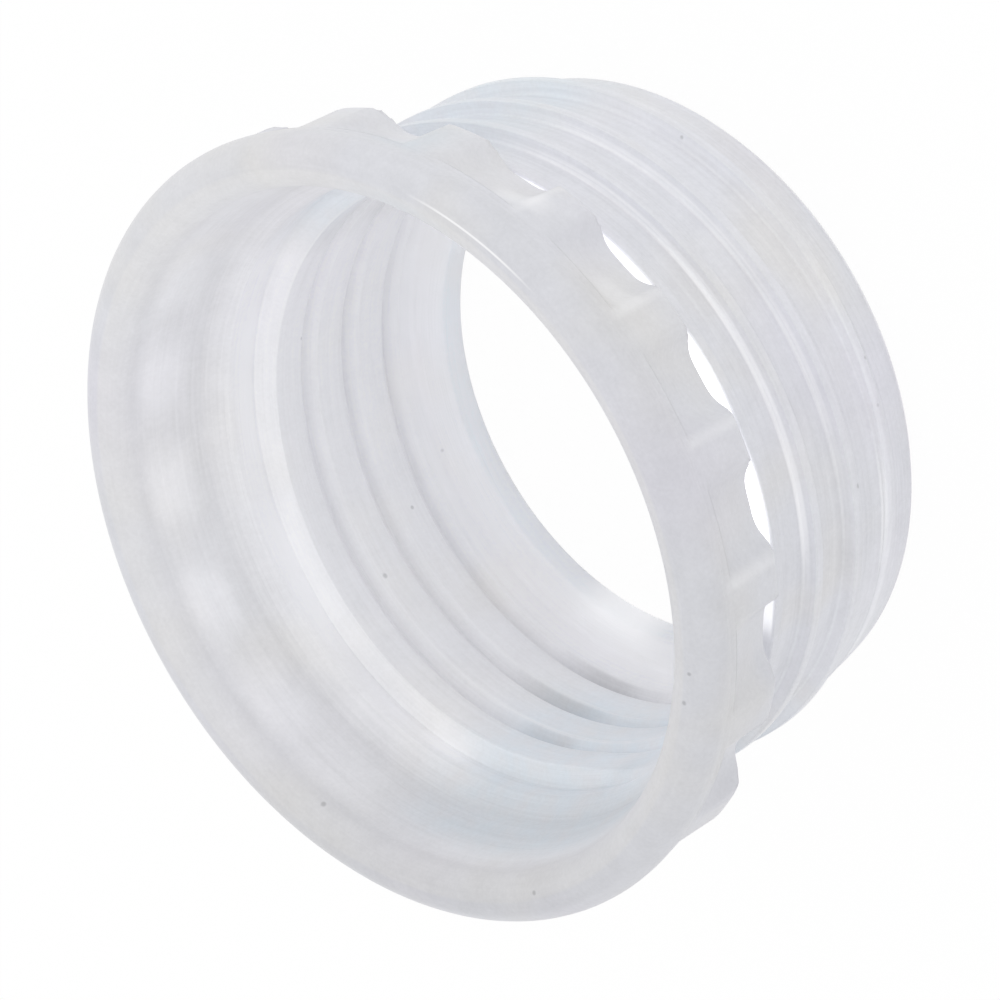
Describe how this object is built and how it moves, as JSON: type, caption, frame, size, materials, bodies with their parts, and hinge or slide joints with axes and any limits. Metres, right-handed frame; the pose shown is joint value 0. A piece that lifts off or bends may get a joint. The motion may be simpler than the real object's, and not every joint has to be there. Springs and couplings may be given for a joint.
{
  "type": "threaded adapter",
  "caption": "Ring-shaped threaded adapter: a wide lobed collar with a rounded lip and bell mouth on a short tube with a coarse thread outside and inside, open right through.",
  "frame": {"origin": "centre of the flat foot at the threaded end, on the axis of the ring", "axes": "+Z along the axis from the threaded foot up to the wide lipped mouth; X and Y lie in the plane of the foot"},
  "size_m": [0.0814, 0.0814, 0.0415],
  "materials": {
    "milky_plastic": "moulded milky pale lavender-grey translucent plastic, satin to semi-gloss"
  },
  "bodies": {
    "root": {"adapter_body": "milky_plastic"}
  },
  "joints": []
}
